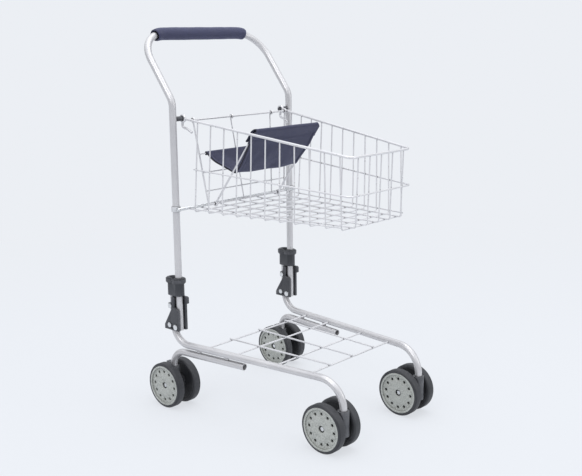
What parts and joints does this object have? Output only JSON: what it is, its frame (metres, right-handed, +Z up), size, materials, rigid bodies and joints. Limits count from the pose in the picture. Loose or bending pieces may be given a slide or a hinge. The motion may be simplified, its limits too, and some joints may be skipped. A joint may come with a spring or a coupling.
{
  "type": "toy shopping cart",
  "caption": "Small folding toy shopping cart with a tapered wire basket, a fabric doll seat on a swinging rear gate, a wire lower shelf and twin-wheel casters.",
  "frame": {"origin": "on the floor, under the middle of the cart's length and width", "axes": "+X the way the cart is pushed, +Y the cart's left side, +Z up"},
  "size_m": [0.4061, 0.3052, 0.6041],
  "materials": {
    "frame_tube": "smooth silver-white coat on bent steel tube",
    "wire": "silver-white coated steel wire",
    "bright_steel": "plain bright steel",
    "black_plastic": "moulded, lightly grained",
    "pale_plastic": "moulded, plain",
    "grey_plastic": "moulded, lightly grained",
    "grip_cloth": "padded woven cover",
    "seat_cloth": "plain woven cloth with stitched hems",
    "tyre_rubber": "matt soft plastic",
    "disc_plastic": "satin grey moulding"
  },
  "bodies": {
    "base_frame": {"base_tube_right": "frame_tube", "base_tube_left": "frame_tube", "leg_tube_right": "frame_tube", "leg_tube_left": "frame_tube", "leg_weld_pads": "frame_tube", "shelf_cross_wires": "wire", "shelf_long_wires": "wire", "hinge_cheeks_right": "black_plastic", "hinge_cheeks_left": "black_plastic", "cheek_rivets": "bright_steel", "fold_pivots": "bright_steel", "rear_right_housing": "grey_plastic", "rear_left_housing": "grey_plastic", "rear_right_axle": "bright_steel", "rear_left_axle": "bright_steel"},
    "upper_frame": {"handle_tube": "frame_tube", "grip_cover": "grip_cloth", "basket_pins": "black_plastic", "rod_collars": "pale_plastic"},
    "sleeve_right": {"lock_sleeve_right": "black_plastic"},
    "sleeve_left": {"lock_sleeve_left": "black_plastic"},
    "basket": {"basket_rim": "wire", "basket_ring": "wire", "basket_cross_wires": "wire", "basket_long_wires": "wire", "basket_edge_wires": "wire", "basket_hinge_wire": "wire", "basket_rod": "bright_steel"},
    "rear_gate": {"gate_frame": "wire", "gate_uprights": "wire", "gate_cross_wires": "wire", "seat_fabric": "seat_cloth"},
    "seat_back": {"seat_back_wire": "wire"},
    "caster_right": {"front_right_caster": "grey_plastic", "front_right_axle": "bright_steel"},
    "caster_left": {"front_left_caster": "grey_plastic", "front_left_axle": "bright_steel"},
    "rear_right_outer_wheel": {"rear_right_outer_tyre": "tyre_rubber", "rear_right_outer_disc": "disc_plastic"},
    "rear_right_inner_wheel": {"rear_right_inner_tyre": "tyre_rubber", "rear_right_inner_disc": "disc_plastic"},
    "rear_left_outer_wheel": {"rear_left_outer_tyre": "tyre_rubber", "rear_left_outer_disc": "disc_plastic"},
    "rear_left_inner_wheel": {"rear_left_inner_tyre": "tyre_rubber", "rear_left_inner_disc": "disc_plastic"},
    "front_right_outer_wheel": {"front_right_outer_tyre": "tyre_rubber", "front_right_outer_disc": "disc_plastic"},
    "front_right_inner_wheel": {"front_right_inner_tyre": "tyre_rubber", "front_right_inner_disc": "disc_plastic"},
    "front_left_outer_wheel": {"front_left_outer_tyre": "tyre_rubber", "front_left_outer_disc": "disc_plastic"},
    "front_left_inner_wheel": {"front_left_inner_tyre": "tyre_rubber", "front_left_inner_disc": "disc_plastic"}
  },
  "joints": [
    {"name": "frame_fold", "type": "hinge", "parent": "base_frame", "child": "upper_frame", "pos_m": [-0.117, 0, 0.137], "axis": [0, 1, 0], "range_deg": [0, 88]},
    {"name": "sleeve_right_slide", "type": "slide", "parent": "upper_frame", "child": "sleeve_right", "axis": [0, 0, 1], "range_m": [0, 0.045]},
    {"name": "sleeve_left_slide", "type": "slide", "parent": "upper_frame", "child": "sleeve_left", "axis": [0, 0, 1], "range_m": [0, 0.045]},
    {"name": "basket_swing", "type": "hinge", "parent": "upper_frame", "child": "basket", "pos_m": [-0.117, 0, 0.4665], "axis": [0, -1, 0], "range_deg": [0, 106]},
    {"name": "gate_swing", "type": "hinge", "parent": "basket", "child": "rear_gate", "pos_m": [-0.1016, 0, 0.46436], "axis": [0, -1, 0], "range_deg": [0, 38]},
    {"name": "seat_fold", "type": "hinge", "parent": "rear_gate", "child": "seat_back", "pos_m": [-0.08946, 0, 0.33091], "axis": [0, -1, 0], "range_deg": [0, 30], "deforming": ["seat_fabric"]},
    {"name": "caster_right_swivel", "type": "hinge", "parent": "base_frame", "child": "caster_right", "pos_m": [0.189, -0.093, 0.05], "axis": [0, 0, 1], "continuous": true},
    {"name": "caster_left_swivel", "type": "hinge", "parent": "base_frame", "child": "caster_left", "pos_m": [0.189, 0.093, 0.05], "axis": [0, 0, 1], "continuous": true},
    {"name": "rear_right_outer_spin", "type": "hinge", "parent": "base_frame", "child": "rear_right_outer_wheel", "pos_m": [-0.138, -0.12833, 0.037], "axis": [0, 1, 0], "continuous": true},
    {"name": "rear_right_inner_spin", "type": "hinge", "parent": "base_frame", "child": "rear_right_inner_wheel", "pos_m": [-0.138, -0.12833, 0.037], "axis": [0, 1, 0], "continuous": true},
    {"name": "rear_left_outer_spin", "type": "hinge", "parent": "base_frame", "child": "rear_left_outer_wheel", "pos_m": [-0.138, 0.12833, 0.037], "axis": [0, 1, 0], "continuous": true},
    {"name": "rear_left_inner_spin", "type": "hinge", "parent": "base_frame", "child": "rear_left_inner_wheel", "pos_m": [-0.138, 0.12833, 0.037], "axis": [0, 1, 0], "continuous": true},
    {"name": "front_right_outer_spin", "type": "hinge", "parent": "caster_right", "child": "front_right_outer_wheel", "pos_m": [0.166, -0.093, 0.037], "axis": [0, 1, 0], "continuous": true},
    {"name": "front_right_inner_spin", "type": "hinge", "parent": "caster_right", "child": "front_right_inner_wheel", "pos_m": [0.166, -0.093, 0.037], "axis": [0, 1, 0], "continuous": true},
    {"name": "front_left_outer_spin", "type": "hinge", "parent": "caster_left", "child": "front_left_outer_wheel", "pos_m": [0.166, 0.093, 0.037], "axis": [0, 1, 0], "continuous": true},
    {"name": "front_left_inner_spin", "type": "hinge", "parent": "caster_left", "child": "front_left_inner_wheel", "pos_m": [0.166, 0.093, 0.037], "axis": [0, 1, 0], "continuous": true}
  ],
  "couplings": [
    {"joint": "basket_swing", "follows": "frame_fold", "ratio": 1.2}
  ]
}
